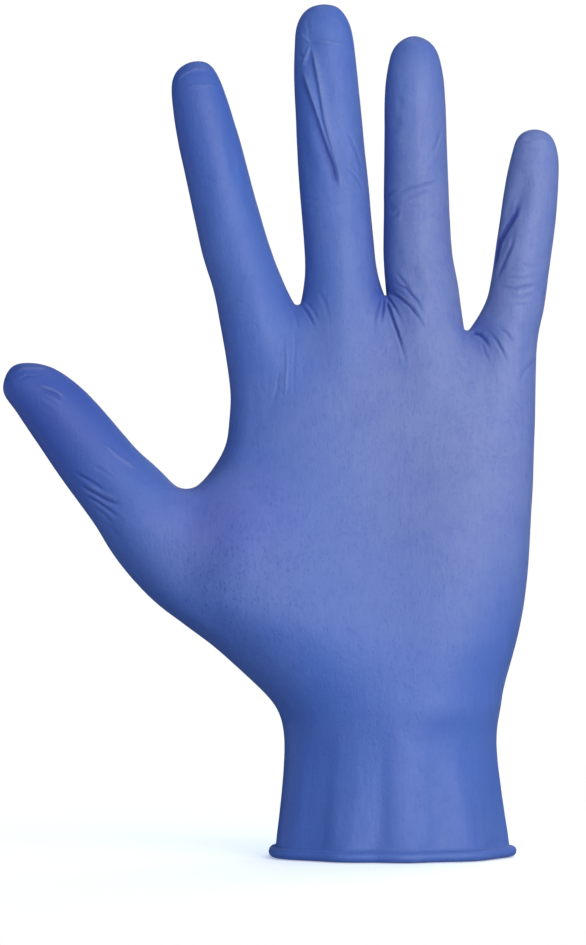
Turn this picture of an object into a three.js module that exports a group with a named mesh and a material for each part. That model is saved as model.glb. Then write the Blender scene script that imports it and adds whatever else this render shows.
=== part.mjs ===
// A disposable exam glove in its worn, spread form for the left side: one dipped film with a rolled
// bead at its mouth. Millimetres, +Z from the cuff to the fingertips, palm towards -Y, thumb towards -X.
// The origin is the middle of the cuff's mouth.
// The film is drawn as a coarse net of four-sided cells, rows round the cuff and palm and rings round each
// finger, and one step of Catmull-Clark smoothing turns it into the outer skin. The inner skin lies one
// wall inside.
import * as THREE from 'three';

const CUFF_LENGTH = 38;
const CUFF_WIDTH = 66;
const CUFF_DEPTH = 50;
const WRIST_WIDTH = 60;
const WRIST_DEPTH = 43;
const PALM_LENGTH = 119;
const PALM_WIDTH = 86.5;
const PALM_DEPTH = 31;
const WALL = 1;
const BEAD_DIAMETER = 3;
const WEB_SLOPE = 11;
const WEB_ROLL = 1.6;
const GATHER_DEPTH = 0.8;
const GATHERS = 9;

// How far the webs lie below the palm's top: the index finger's outer side, the three webs between the
// fingers, and the little finger's outer side.
const WEB_DROPS = [6, 1.5, -0.6, 8.6, 14];
// How far apart the two fingers beside each of the three webs leave the palm.
const WEB_GAPS = [1.8, 1.4, 2.4];
// How far each finger's two sides spread towards the webs as it leaves the palm, finger by finger.
const ROOT_SPREADS = [[0, 0], [0.1, 1.0], [0, 0.2], [0.7, 0]];

// The four fingers, from the index to the little one. Lean is the tilt towards the thumb in degrees, and
// drop is how far the middle of the root lies below the palm's top, and flare is the root's width as a share
// of the finger's.
// A section lies along the finger at a share of its length. Width and depth are shares of the finger's,
// sway is its sideways shift as a share of the width, and bow its shift to the palm side, of the depth.
const FINGERS = [
  {
    name: 'index', length: 72.2, width: 19.3, depth: 18, lean: 14.4, drop: 3, flare: 1.093,
    sections: [
      { along: 0.129, width: 1, depth: 1.02, sway: -0.048, bow: -0.03 },
      { along: 0.257, width: 0.98, depth: 1, sway: -0.081, bow: -0.05 },
      { along: 0.415, width: 0.94, depth: 0.97, sway: -0.083, bow: -0.05 },
      { along: 0.572, width: 0.91, depth: 0.91, sway: -0.073, bow: 0 },
      { along: 0.73, width: 0.867, depth: 0.83, sway: -0.068, bow: 0.09 },
      { along: 0.851, width: 0.79, depth: 0.72, sway: -0.058, bow: 0.17 },
      { along: 0.937, width: 0.66, depth: 0.55, sway: -0.048, bow: 0.21 },
      { along: 0.982, width: 0.42, depth: 0.33, sway: -0.033, bow: 0.22 },
    ],
  },
  {
    name: 'middle', length: 83.7, width: 19.9, depth: 18.6, lean: 3.4, drop: 0.5, flare: 1.146,
    sections: [
      { along: 0.09, width: 1.035, depth: 1.02, sway: 0.025, bow: -0.03 },
      { along: 0.186, width: 0.992, depth: 1, sway: 0.02, bow: -0.05 },
      { along: 0.329, width: 0.985, depth: 0.97, sway: 0.005, bow: -0.06 },
      { along: 0.473, width: 0.97, depth: 0.94, sway: -0.012, bow: -0.04 },
      { along: 0.617, width: 0.935, depth: 0.88, sway: -0.02, bow: 0.02 },
      { along: 0.748, width: 0.905, depth: 0.81, sway: -0.028, bow: 0.1 },
      { along: 0.856, width: 0.845, depth: 0.71, sway: -0.025, bow: 0.17 },
      { along: 0.928, width: 0.75, depth: 0.58, sway: -0.025, bow: 0.2 },
      { along: 0.98, width: 0.48, depth: 0.36, sway: -0.02, bow: 0.22 },
    ],
  },
  {
    name: 'ring', length: 78.2, width: 19.6, depth: 18, lean: 1.5, drop: 4, flare: 1.117,
    sections: [
      { along: 0.102, width: 1.04, depth: 1.02, sway: -0.037, bow: -0.03 },
      { along: 0.217, width: 0.995, depth: 1, sway: -0.08, bow: -0.05 },
      { along: 0.371, width: 0.95, depth: 0.97, sway: -0.082, bow: -0.05 },
      { along: 0.524, width: 0.918, depth: 0.92, sway: -0.077, bow: 0 },
      { along: 0.678, width: 0.893, depth: 0.85, sway: -0.07, bow: 0.07 },
      { along: 0.806, width: 0.857, depth: 0.76, sway: -0.067, bow: 0.15 },
      { along: 0.895, width: 0.76, depth: 0.63, sway: -0.062, bow: 0.19 },
      { along: 0.963, width: 0.54, depth: 0.42, sway: -0.062, bow: 0.21 },
    ],
  },
  {
    name: 'little', length: 59.4, width: 16, depth: 15.2, lean: -8.6, drop: 11, flare: 1.138,
    sections: [
      { along: 0.153, width: 1.037, depth: 1.05, sway: 0.089, bow: 0 },
      { along: 0.289, width: 0.995, depth: 1, sway: 0.109, bow: 0 },
      { along: 0.443, width: 0.986, depth: 0.97, sway: 0.099, bow: 0.03 },
      { along: 0.596, width: 0.977, depth: 0.92, sway: 0.09, bow: 0.09 },
      { along: 0.749, width: 0.925, depth: 0.84, sway: 0.064, bow: 0.18 },
      { along: 0.869, width: 0.83, depth: 0.71, sway: 0.049, bow: 0.26 },
      { along: 0.945, width: 0.675, depth: 0.55, sway: 0.024, bow: 0.3 },
      { along: 0.984, width: 0.41, depth: 0.34, sway: 0.024, bow: 0.32 },
    ],
  },
];

// The thumb grows from the palm's side. Turn is the angle, in degrees, by which a section leans on from the
// thumb towards the plane of its root.
const THUMB = {
  name: 'thumb', length: 67.2, width: 21.3, depth: 21, lean: 40.1,
  sections: [
    { along: 0.175, width: 1.27, depth: 1.27, sway: -0.069, bow: 0.13, turn: 19 },
    { along: 0.292, width: 1.12, depth: 1.14, sway: -0.054, bow: 0.15, turn: 10 },
    { along: 0.411, width: 1.03, depth: 1.04, sway: -0.05, bow: 0.18, turn: 2 },
    { along: 0.573, width: 0.985, depth: 0.95, sway: -0.03, bow: 0.24, turn: 0 },
    { along: 0.726, width: 0.91, depth: 0.86, sway: -0.012, bow: 0.31, turn: 0 },
    { along: 0.859, width: 0.77, depth: 0.71, sway: -0.035, bow: 0.37, turn: 0 },
    { along: 0.946, width: 0.55, depth: 0.5, sway: -0.095, bow: 0.4, turn: 0 },
  ],
};

// Rows round the cuff, from its mouth to the wrist: height as a share of the cuff's length, and how far the
// row has gone from the mouth's size to the wrist's.
const CUFF_ROWS = [
  { up: 0, narrowed: 0 },
  { up: 0.27, narrowed: 0.45 },
  { up: 0.6, narrowed: 0.88 },
  { up: 0.89, narrowed: 1 },
];

// Rows round the palm, from just above the wrist. Left and right are the ends of the row, across as shares of the
// palm's width and up as shares of its length. Depth and set are shares of the palm's depth, the second
// towards the back of the glove, and square is how full the corners of the section are. The thumb's root
// starts at the row marked thumb.
const PALM_ROWS = [
  { left: [-0.37, 0.03], right: [0.36, 0.03], depth: 1.38, set: 0, square: 2.05 },
  { left: [-0.446, 0.093], right: [0.375, 0.092], depth: 1.37, set: 0, square: 2.1 },
  { left: [-0.597, 0.19], right: [0.41, 0.184], depth: 1.33, set: -0.02, square: 2.2 },
  { left: [-0.77, 0.285], right: [0.438, 0.285], depth: 1.26, set: -0.03, square: 2.3, thumb: true },
  { left: [-0.711, 0.416], right: [0.453, 0.395], depth: 1.15, set: -0.02, square: 2.4 },
  { left: [-0.652, 0.548], right: [0.461, 0.5], depth: 1.05, set: 0, square: 2.5 },
  { left: [-0.55, 0.63], right: [0.467, 0.575], depth: 0.97, set: 0.02, square: 2.5 },
  { left: [-0.525, 0.71], right: [0.47, 0.645], depth: 0.89, set: 0.04, square: 2.5 },
  { left: [-0.523, 0.8], right: [0.474, 0.72], depth: 0.8, set: 0.06, square: 2.5 },
];
// The places of the cells in front of and behind the thumb's root, on three palm rows: their inset from the
// row's end as shares of the thumb's width, and their depth either way from the middle of the palm as shares
// of the thumb's depth.
const THUMB_ROOT = [
  { inset: 0.26, front: 0.62, back: 0.42 },
  { inset: 0.1, front: 0.76, back: 0.52 },
  { inset: 0.12, front: 0.5, back: 0.38 },
];
// The middle of the row of finger roots, across as a share of the palm's width, and how far it lies towards
// the back of the glove, as a share of the palm's depth.
const FINGERS_CENTRE = -0.038;
const FINGERS_SET = 0.08;

// Pads, hollows and knuckles, as soft rises on the palm side or the back: place and reach as shares of the
// palm's width and length, rise as a share of its depth.
const PADS = [
  { name: 'thumb pad', back: false, across: -0.4, up: 0.3, wide: 0.3, tall: 0.22, rise: 0.14 },
  { name: 'thumb root', back: false, across: -0.54, up: 0.42, wide: 0.14, tall: 0.15, rise: 0.09 },
  { name: 'heel pad', back: false, across: 0.26, up: 0.28, wide: 0.2, tall: 0.3, rise: 0.08 },
  { name: 'palm hollow', back: false, across: -0.02, up: 0.55, wide: 0.28, tall: 0.32, rise: -0.1 },
  { name: 'finger pads', back: false, across: 0, up: 0.82, wide: 0.6, tall: 0.15, rise: 0.03 },
  { name: 'index knuckle', back: true, across: -0.4, up: 0.81, wide: 0.08, tall: 0.12, rise: 0.06 },
  { name: 'middle knuckle', back: true, across: -0.16, up: 0.83, wide: 0.08, tall: 0.12, rise: 0.08 },
  { name: 'ring knuckle', back: true, across: 0.11, up: 0.8, wide: 0.08, tall: 0.12, rise: 0.06 },
  { name: 'little knuckle', back: true, across: 0.36, up: 0.73, wide: 0.08, tall: 0.12, rise: 0.05 },
  { name: 'thumb web', back: true, across: -0.46, up: 0.5, wide: 0.24, tall: 0.24, rise: -0.045 },
];

// Film and joint folds on the fingers: where a valley starts and ends, along the finger as shares of its
// length and across it as shares of its width, and its reach and depth as shares of the width.
const FOLDS = [
  { finger: 'middle', from: [0.87, -0.2], to: [0.45, 0.2], reach: 0.13, deep: 0.03 },
  { finger: 'ring', from: [0.44, -0.42], to: [0.5, 0.3], reach: 0.14, deep: 0.025 },
  { finger: 'ring', from: [0.14, -0.2], to: [-0.14, 0.35], reach: 0.12, deep: 0.03 },
  { finger: 'little', from: [0.72, -0.1], to: [0.28, -0.42], reach: 0.15, deep: 0.06 },
  { finger: 'little', from: [0.24, -0.2], to: [0.21, 0.35], reach: 0.14, deep: 0.025 },
  { finger: 'thumb', from: [0.32, -0.3], to: [0.2, 0.1], reach: 0.16, deep: 0.03 },
];

const ROOT_DEPTH = 1.07;
const FIT_PASSES = 6;
const BEAD_RINGS = 7;
const FRONT_COLUMNS = 3 * FINGERS.length;
const PALM_TOP = CUFF_LENGTH + PALM_LENGTH;
const FIRST_THUMB_ROW = PALM_ROWS.findIndex(({ thumb }) => thumb);

const sum = (list) => list.reduce((total, value) => total + value, 0);
const bell = (distance) => Math.exp(-distance * distance);
const { clamp, degToRad, lerp: mix } = THREE.MathUtils;
const point = (x, y, z) => new THREE.Vector3(x, y, z);
const average = (points) => points.reduce((a, b) => a.add(b), point(0, 0, 0)).divideScalar(points.length);

// A net of cells with four corners each, over a list of points.
class Net {
  constructor(points = [], cells = []) {
    this.points = points;
    this.cells = cells;
  }

  add(points) {
    return points.map((corner) => this.points.push(corner) - 1);
  }

  // A band of cells between two rings with as many points, apart from the columns that stay open.
  bridge(low, high, open = []) {
    low.forEach((corner, column) => {
      const next = (column + 1) % low.length;
      if (!open.includes(column)) this.cells.push([corner, low[next], high[next], high[column]]);
    });
  }

  // Cells that close a ring with an even count of points over the middle point at its tip.
  cap(ring, tip) {
    const [middle] = this.add([tip]);
    for (let k = 0; k < ring.length; k += 2) {
      this.cells.push([ring[k], ring[k + 1], ring[(k + 2) % ring.length], middle]);
    }
  }

  // Each edge once, with its two ends and the cells beside it.
  edges() {
    const found = new Map();
    this.cells.forEach((cell, side) => cell.forEach((a, k) => {
      const b = cell[(k + 1) % cell.length];
      const key = Math.min(a, b) * this.points.length + Math.max(a, b);
      if (!found.has(key)) found.set(key, { ends: [a, b], sides: [] });
      found.get(key).sides.push(side);
    }));
    return found;
  }

  // One step of Catmull-Clark smoothing. The first points of the new net are the old ones, moved.
  smoothed() {
    const { points, cells } = this;
    const middles = cells.map((cell) => average(cell.map((k) => points[k])));
    const around = points.map(() => ({ middles: [], spokes: [], rim: [] }));
    cells.forEach((cell, side) => cell.forEach((k) => around[k].middles.push(middles[side])));
    const edges = this.edges();
    const halves = new Map();
    edges.forEach(({ ends, sides }, key) => {
      const half = average(ends.map((k) => points[k]));
      const open = sides.length < 2;
      ends.forEach((k) => around[k][open ? 'rim' : 'spokes'].push(half));
      halves.set(key, open ? half : average([...ends.map((k) => points[k]), ...sides.map((k) => middles[k])]));
    });
    const moved = points.map((old, k) => {
      const { middles: beside, spokes, rim } = around[k];
      if (rim.length) return average([old, average(rim)]);
      const count = beside.length;
      return average(beside)
        .add(average(spokes).multiplyScalar(2))
        .addScaledVector(old, count - 3)
        .divideScalar(count);
    });
    const firstMiddle = moved.length;
    const firstHalf = firstMiddle + middles.length;
    const place = new Map([...halves.keys()].map((key, k) => [key, firstHalf + k]));
    const halfOf = (a, b) => place.get(Math.min(a, b) * points.length + Math.max(a, b));
    const quarters = cells.flatMap((cell, side) => cell.map((corner, k) => [
      corner,
      halfOf(corner, cell[(k + 1) % 4]),
      firstMiddle + side,
      halfOf(cell[(k + 3) % 4], corner),
    ]));
    return new Net([...moved, ...middles, ...halves.values()], quarters);
  }

  // The net whose smoothed form passes through this one's points.
  fitted() {
    const drawn = new Net(this.points.map((old) => old.clone()), this.cells);
    for (let pass = 0; pass < FIT_PASSES; pass += 1) {
      const now = drawn.smoothed().points;
      drawn.points.forEach((corner, k) => corner.add(this.points[k]).sub(now[k]));
    }
    return drawn;
  }

  // Outward normals at the points.
  normals() {
    const normals = this.points.map(() => point(0, 0, 0));
    this.cells.forEach((cell) => {
      const [a, b, c, d] = cell.map((k) => this.points[k]);
      const facing = c.clone().sub(a).cross(d.clone().sub(b));
      cell.forEach((k) => normals[k].add(facing));
    });
    return normals.map((normal) => normal.normalize());
  }
}

// Centres of the four finger roots across the top of the palm, side by side with a web between each two.
function rootCentres() {
  const widths = FINGERS.map((finger) => finger.width * finger.flare);
  const whole = sum(widths) + sum(WEB_GAPS);
  let edge = FINGERS_CENTRE * PALM_WIDTH - whole / 2;
  return widths.map((width, k) => {
    const centre = edge + width / 2;
    edge += width + WEB_GAPS[k];
    return centre;
  });
}
const ROOT_CENTRES = rootCentres();

// The frame of a finger: its root, the way it points, the way across it, its length, width and depth.
function fingerFrame(finger, root) {
  const lean = degToRad(finger.lean);
  return {
    ...finger,
    root,
    axis: point(-Math.sin(lean), 0, Math.cos(lean)),
    side: point(Math.cos(lean), 0, Math.sin(lean)),
  };
}

const FINGER_FRAMES = FINGERS.map((finger, k) =>
  fingerFrame(finger, point(ROOT_CENTRES[k], FINGERS_SET * PALM_DEPTH, PALM_TOP - finger.drop)));

// The eight corners round a finger, from its -X side over the palm side, as shares of the half sizes.
const CORNERS = Array.from({ length: 8 }, (_, k) => {
  const angle = Math.PI + (k * Math.PI) / 4;
  return { across: Math.cos(angle), out: Math.sin(angle) };
});

function fingerRing(frame, { along, width, depth, sway, bow, turn = 0 }) {
  const side = frame.side.clone().applyAxisAngle(point(0, -1, 0), degToRad(turn));
  const centre = frame.root.clone()
    .addScaledVector(frame.axis, along * frame.length)
    .addScaledVector(frame.side, sway * frame.width)
    .add(point(0, -bow * frame.depth, 0));
  return CORNERS.map(({ across, out }) => centre.clone()
    .addScaledVector(side, (across * width * frame.width) / 2)
    .add(point(0, (out * depth * frame.depth) / 2, 0)));
}

function drawFinger(net, frame, rootRing) {
  const last = frame.sections.at(-1);
  const tip = frame.root.clone()
    .addScaledVector(frame.axis, frame.length)
    .addScaledVector(frame.side, last.sway * frame.width)
    .add(point(0, -last.bow * frame.depth, 0));
  const ring = frame.sections.reduce((low, section) => {
    const high = net.add(fingerRing(frame, section));
    net.bridge(low, high);
    return high;
  }, rootRing);
  net.cap(ring, tip);
}

// The finger's corners where it leaves the palm: its sides in the webs, its front a little below them and
// its back down the slope of the web.
function rootRing(frame, finger) {
  const heights = WEB_DROPS.slice(finger, finger + 2).map((drop) => PALM_TOP - drop);
  return CORNERS.map(({ across, out }) => {
    const web = mix(heights[0], heights[1], (across + 1) / 2);
    const fall = out > 0 ? WEB_SLOPE * out : -WEB_ROLL * out;
    const spread = across * ROOT_SPREADS[finger][across < 0 ? 0 : 1];
    return point(
      frame.root.x + (across * frame.flare * frame.width) / 2 + spread,
      frame.root.y + (out * ROOT_DEPTH * frame.depth) / 2,
      web - fall,
    );
  });
}

// Where the columns of the palm stand, as shares of the way from its thumb side to the other.
function columnShares() {
  const rings = FINGER_FRAMES.map(rootRing);
  const low = rings[0][0].x;
  const high = rings.at(-1)[4].x;
  return rings.flatMap((ring) => [1, 2, 3].map((k) => (ring[k].x - low) / (high - low)));
}
const COLUMNS = columnShares();

// A row round the palm or cuff: its end, the front columns, its other end, and the back columns.
function row({ left, right, middle, depth, square }) {
  const out = (share) => (depth / 2) * (1 - Math.abs(2 * share - 1) ** square) ** (1 / square);
  const at = (share, facing) => point(
    mix(left[0], right[0], share),
    middle + facing * out(share),
    mix(left[1], right[1], share),
  );
  return [
    at(0, 0),
    ...COLUMNS.map((share) => at(share, -1)),
    at(1, 0),
    ...COLUMNS.map((share) => at(share, 1)).reverse(),
  ];
}

function cuffRow({ up, narrowed }) {
  const width = mix(CUFF_WIDTH, WRIST_WIDTH, narrowed);
  const height = mix(beadTop(), CUFF_LENGTH, up);
  return row({
    left: [-width / 2, height],
    right: [width / 2, height],
    middle: 0,
    depth: mix(CUFF_DEPTH, WRIST_DEPTH, narrowed),
    square: 2,
  });
}

function palmRow({ left, right, depth, set, square }) {
  const place = ([across, up]) => [across * PALM_WIDTH, CUFF_LENGTH + up * PALM_LENGTH];
  const corners = row({
    left: place(left),
    right: place(right),
    middle: set * PALM_DEPTH,
    depth: depth * PALM_DEPTH,
    square,
  });
  corners.forEach((corner, column) => {
    const front = column > 0 && column <= FRONT_COLUMNS;
    const back = column > FRONT_COLUMNS + 1;
    PADS.filter((pad) => (pad.back ? back : front)).forEach((pad) => {
      const across = (corner.x / PALM_WIDTH - pad.across) / pad.wide;
      const up = ((corner.z - CUFF_LENGTH) / PALM_LENGTH - pad.up) / pad.tall;
      const rise = pad.rise * PALM_DEPTH * bell(Math.hypot(across, up));
      corner.y += pad.back ? rise : -rise;
    });
  });
  return corners;
}

// Moves the corners in front of and behind the thumb's root to where the thumb leaves the palm.
function shapeThumbRoot(rows) {
  THUMB_ROOT.forEach(({ inset, front, back }, k) => {
    const corners = rows[FIRST_THUMB_ROW + k];
    const end = corners[0];
    const across = end.x + inset * THUMB.width;
    corners[1].set(across, end.y - front * THUMB.depth, corners[1].z);
    corners.at(-1).set(across, end.y + back * THUMB.depth, corners.at(-1).z);
  });
}

function drawGlove() {
  const net = new Net();
  const cuff = CUFF_ROWS.map(cuffRow).map((corners) => net.add(corners));
  const palmPoints = PALM_ROWS.map(palmRow);
  shapeThumbRoot(palmPoints);
  const palm = palmPoints.map((corners, k) => {
    const inThumb = k === FIRST_THUMB_ROW + 1;
    return inThumb ? [null, ...net.add(corners.slice(1))] : net.add(corners);
  });
  const roots = FINGER_FRAMES.map(rootRing);
  const rings = roots.map((corners) => net.add(corners));
  const top = [
    rings[0][0],
    ...rings.flatMap((ring) => ring.slice(1, 4)),
    rings.at(-1)[4],
    ...[...rings].reverse().flatMap((ring) => ring.slice(5)),
  ];
  const rows = [...cuff, ...palm, top];
  const thumbRows = [CUFF_ROWS.length + FIRST_THUMB_ROW, CUFF_ROWS.length + FIRST_THUMB_ROW + 1];
  rows.slice(1).forEach((high, k) => {
    const open = thumbRows.includes(k) ? [0, high.length - 1] : [];
    net.bridge(rows[k], high, open);
  });
  rings.slice(1).forEach((ring, k) => {
    const before = rings[k];
    net.cells.push([before[3], ring[1], ring[0], before[4]]);
    net.cells.push([before[4], ring[0], ring[7], before[5]]);
  });
  FINGER_FRAMES.forEach((frame, k) => drawFinger(net, frame, rings[k]));
  const [low, middle, high] = palm.slice(FIRST_THUMB_ROW, FIRST_THUMB_ROW + 3);
  const thumbRing = [low[0], low[1], middle[1], high[1], high[0], high.at(-1), middle.at(-1), low.at(-1)];
  const thumb = fingerFrame(THUMB, net.points[low[0]].clone().lerp(net.points[high[0]], 0.5));
  drawFinger(net, thumb, thumbRing);
  return { net, frames: [...FINGER_FRAMES, thumb], mouth: cuff[0] };
}

// How far a fold presses a point of the film towards the back of the glove.
function foldDepth({ from, to, reach, deep }, frame, corner) {
  const offset = corner.clone().sub(frame.root);
  const facing = clamp((-2 * offset.y) / frame.depth, 0, 1);
  const place = new THREE.Vector2(offset.dot(frame.side), offset.dot(frame.axis));
  const scaled = ([along, across]) => new THREE.Vector2(across * frame.width, along * frame.length);
  const start = scaled(from);
  const way = scaled(to).sub(start);
  const share = clamp(place.clone().sub(start).dot(way) / way.lengthSq(), 0, 1);
  const gap = place.distanceTo(start.addScaledVector(way, share));
  return facing * deep * frame.width * bell(gap / (reach * frame.width));
}

// Presses the folds into the palm side of the fingers, and gathers the cuff towards its mouth.
function addFolds(net, frames) {
  const frameOf = (finger) => frames.find(({ name }) => name === finger);
  net.points.forEach((corner) => {
    corner.y += sum(FOLDS.map((fold) => foldDepth(fold, frameOf(fold.finger), corner)));
    const loose = clamp(1 - corner.z / CUFF_LENGTH, 0, 1) * GATHER_DEPTH;
    const angle = Math.atan2(corner.y, corner.x);
    const outward = point(Math.cos(angle), Math.sin(angle), 0);
    corner.addScaledVector(outward, loose * Math.cos(GATHERS * angle));
  });
}

// The bead is a round roll that stands out from the film, with its inner side flush with the inner skin.
// This is the height at which the outer skin meets it.
function beadTop() {
  const radius = BEAD_DIAMETER / 2;
  return radius + Math.sqrt(radius ** 2 - (radius - WALL) ** 2);
}

// Rings of points round the bead, from its top over its outside and bottom to its inner side.
function beadRings(mouth) {
  const radius = BEAD_DIAMETER / 2;
  return Array.from({ length: BEAD_RINGS }, (_, step) => {
    const angle = Math.PI * (0.5 - (1.5 * step) / (BEAD_RINGS - 1));
    return mouth.map(({ place, outward }) => place.clone()
      .addScaledVector(outward, radius - WALL + radius * Math.cos(angle))
      .setZ(radius + radius * Math.sin(angle)));
  });
}

// The closed film: outer skin, inner skin one wall inside it, and the bead that joins them at the mouth.
function closeFilm(outer, mouthRing) {
  const normals = outer.normals();
  const count = outer.points.length;
  const film = new Net(outer.points.map((corner) => corner.clone()), [...outer.cells]);
  film.add(outer.points.map((corner, k) => corner.clone().addScaledVector(normals[k], -WALL)));
  outer.cells.forEach((cell) => film.cells.push(cell.map((k) => k + count).reverse()));
  const mouth = mouthRing.map((k) => ({
    place: outer.points[k],
    outward: normals[k].clone().setZ(0).normalize(),
  }));
  const rings = [mouthRing, ...beadRings(mouth).map((ring) => film.add(ring)), mouthRing.map((k) => k + count)];
  rings.slice(1).forEach((next, k) => film.bridge(next, rings[k]));
  return film;
}

// The points round the open end of a net, in the order of its first ring.
function openRing(net, coarseRing) {
  const next = new Map();
  net.edges().forEach(({ ends, sides }) => {
    if (sides.length === 1) next.set(ends[0], ends[1]);
  });
  const ring = [coarseRing[0]];
  while (next.get(ring.at(-1)) !== ring[0]) ring.push(next.get(ring.at(-1)));
  return ring;
}

function geometryOf(net) {
  const positions = new Float32Array(net.points.flatMap((corner) => corner.toArray()));
  const triangles = net.cells.flatMap(([a, b, c, d]) => {
    const [pa, pb, pc, pd] = [a, b, c, d].map((k) => net.points[k]);
    return pa.distanceTo(pc) < pb.distanceTo(pd) ? [a, b, c, a, c, d] : [a, b, d, b, c, d];
  });
  const geometry = new THREE.BufferGeometry();
  geometry.setAttribute('position', new THREE.BufferAttribute(positions, 3));
  geometry.setIndex(triangles);
  geometry.computeVertexNormals();
  return geometry;
}

function gloveMesh() {
  const { net, frames, mouth } = drawGlove();
  const skin = net.fitted().smoothed();
  addFolds(skin, frames);
  const film = closeFilm(skin, openRing(skin, mouth));
  const nitrile = new THREE.MeshStandardMaterial({ color: 0x5f78be, roughness: 0.55, metalness: 0 });
  const mesh = new THREE.Mesh(geometryOf(film), nitrile);
  mesh.name = 'glove';
  return mesh;
}

const glove = new THREE.Group();
glove.add(gloveMesh());

export default glove;
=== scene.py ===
"""A disposable exam glove in worn form, palm to the camera.

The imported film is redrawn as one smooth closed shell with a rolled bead, its folds and creases are pressed
into the mesh, and it gets a satin nitrile finish. Sizes on the film are in millimetres and are turned into
metres where they meet the mesh.
"""

import logging
import math
from dataclasses import dataclass, field
from enum import Enum

import bmesh
import bpy
import numpy as np
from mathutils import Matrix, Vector, noise

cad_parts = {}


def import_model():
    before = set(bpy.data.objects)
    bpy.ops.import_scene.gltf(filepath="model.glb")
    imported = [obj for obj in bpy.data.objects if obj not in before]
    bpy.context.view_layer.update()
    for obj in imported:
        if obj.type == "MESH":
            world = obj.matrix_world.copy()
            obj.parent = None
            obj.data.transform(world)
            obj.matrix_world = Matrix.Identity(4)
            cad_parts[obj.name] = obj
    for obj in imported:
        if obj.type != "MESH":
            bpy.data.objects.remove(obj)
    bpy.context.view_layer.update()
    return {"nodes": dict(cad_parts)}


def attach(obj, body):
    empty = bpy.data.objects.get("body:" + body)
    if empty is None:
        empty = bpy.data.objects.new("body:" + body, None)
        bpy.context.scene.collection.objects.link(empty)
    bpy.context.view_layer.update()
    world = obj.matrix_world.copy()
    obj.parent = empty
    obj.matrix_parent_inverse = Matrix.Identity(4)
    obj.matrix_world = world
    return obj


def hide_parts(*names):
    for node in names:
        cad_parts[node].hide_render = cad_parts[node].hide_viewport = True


logging.basicConfig(level=logging.INFO, format="%(message)s")
LOG = logging.getLogger("glove")

MM = 0.001
FOLD = "fold"

VALLEY_LIP = 0.35
VALLEY_LIP_PLACE = 2.0
STEP_LIP = 0.3
STEP_LIP_PLACE = 1.3

Path = tuple[tuple[float, float], ...]
Number = "float | Signal"


class Side(Enum):
    """The side of the glove that a mark lies on, as the sign of the film's outward Y there."""

    PALM = -1.0
    BACK = 1.0


class Section(Enum):
    """The cross-section of a crease."""

    VALLEY = "valley"
    RIDGE = "ridge"
    STEP = "step"


def smooth(share: np.ndarray) -> np.ndarray:
    """Gives a soft ramp from 0 to 1.

    Args:
        share: The way along the ramp.

    Returns:
        The height of the ramp.
    """
    held = np.clip(share, 0.0, 1.0)
    return held * held * (3.0 - 2.0 * held)


@dataclass(frozen=True)
class Crease:
    """A line along which the film is folded or drawn in, seen from in front.

    A step is high on its right where the line runs downwards, and its reach is how far the drop is felt.
    Fade and tail are the shares of the length over which the crease comes in at its start and dies away at
    its end. Points are X and Z, and all sizes are in millimetres.
    """

    path: Path
    depth: float
    width: float = 0.6
    section: Section = Section.VALLEY
    side: Side = Side.PALM
    reach: float = 1.8
    fade: float = 0.28
    tail: float = 0.28

    def nearest(self, places: np.ndarray) -> tuple[np.ndarray, np.ndarray]:
        """Finds how far each place is from the line, and where along it.

        Args:
            places: X and Z of the places.

        Returns:
            The distance, positive to the right of a line that runs downwards, and the share of the length.
        """
        points = np.array(self.path, float)
        spans = np.diff(points, axis=0)
        lengths = np.linalg.norm(spans, axis=1)
        before = np.concatenate([[0.0], np.cumsum(lengths)])
        best = np.full(len(places), np.inf)
        signed = np.zeros(len(places))
        along = np.zeros(len(places))
        for start, span, length, passed in zip(points[:-1], spans, lengths, before[:-1]):
            offset = places - start
            share = np.clip(offset @ span / length**2, 0.0, 1.0)
            gap = np.linalg.norm(offset - share[:, None] * span, axis=1)
            turned = span[0] * offset[:, 1] - span[1] * offset[:, 0]
            closer = gap < best
            best = np.where(closer, gap, best)
            signed = np.where(closer, np.where(turned < 0, -gap, gap), signed)
            along = np.where(closer, (passed + share * length) / before[-1], along)
        return signed, along

    def rise(self, places: np.ndarray) -> np.ndarray:
        """Works out how far the film is lifted at each place.

        Args:
            places: X and Z of the places.

        Returns:
            The lift along the normal.
        """
        gap, along = self.nearest(places)
        ends = smooth(along / self.fade) * smooth((1.0 - along) / self.tail)
        bell = np.exp(-((gap / self.width) ** 2))
        if self.section is Section.RIDGE:
            return ends * self.depth * bell
        if self.section is Section.VALLEY:
            lips = np.exp(-(((np.abs(gap) - VALLEY_LIP_PLACE * self.width) / self.width) ** 2))
            return ends * self.depth * (VALLEY_LIP * lips - bell)
        lip = np.exp(-(((gap - STEP_LIP_PLACE * self.width) / self.width) ** 2))
        drop = 0.5 * np.tanh(gap / self.width) * np.exp(-((gap / self.reach) ** 2))
        return ends * self.depth * (drop + STEP_LIP * lip)


@dataclass(frozen=True)
class Nail:
    """The raised form of a nail under the film, on the back of a fingertip."""

    tip: tuple[float, float]
    lean: float
    half_width: float
    half_length: float = 6.2
    inset: float = 9.5
    lift: float = 0.5
    shoulder: float = 0.78
    slope: float = 0.4

    def rise(self, places: np.ndarray) -> np.ndarray:
        """Works out the lift of the nail at each place.

        Args:
            places: X and Z of the places.

        Returns:
            The lift along the normal.
        """
        angle = math.radians(self.lean)
        axis = np.array([-math.sin(angle), math.cos(angle)])
        side = np.array([axis[1], -axis[0]])
        offset = places - (np.array(self.tip) - self.inset * axis)
        across = np.abs(offset @ side) / self.half_width
        along = np.abs(offset @ axis) / self.half_length
        edge = (across**3 + along**3) ** (1.0 / 3.0)
        return self.lift * (1.0 - smooth((edge - self.shoulder) / self.slope))


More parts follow.
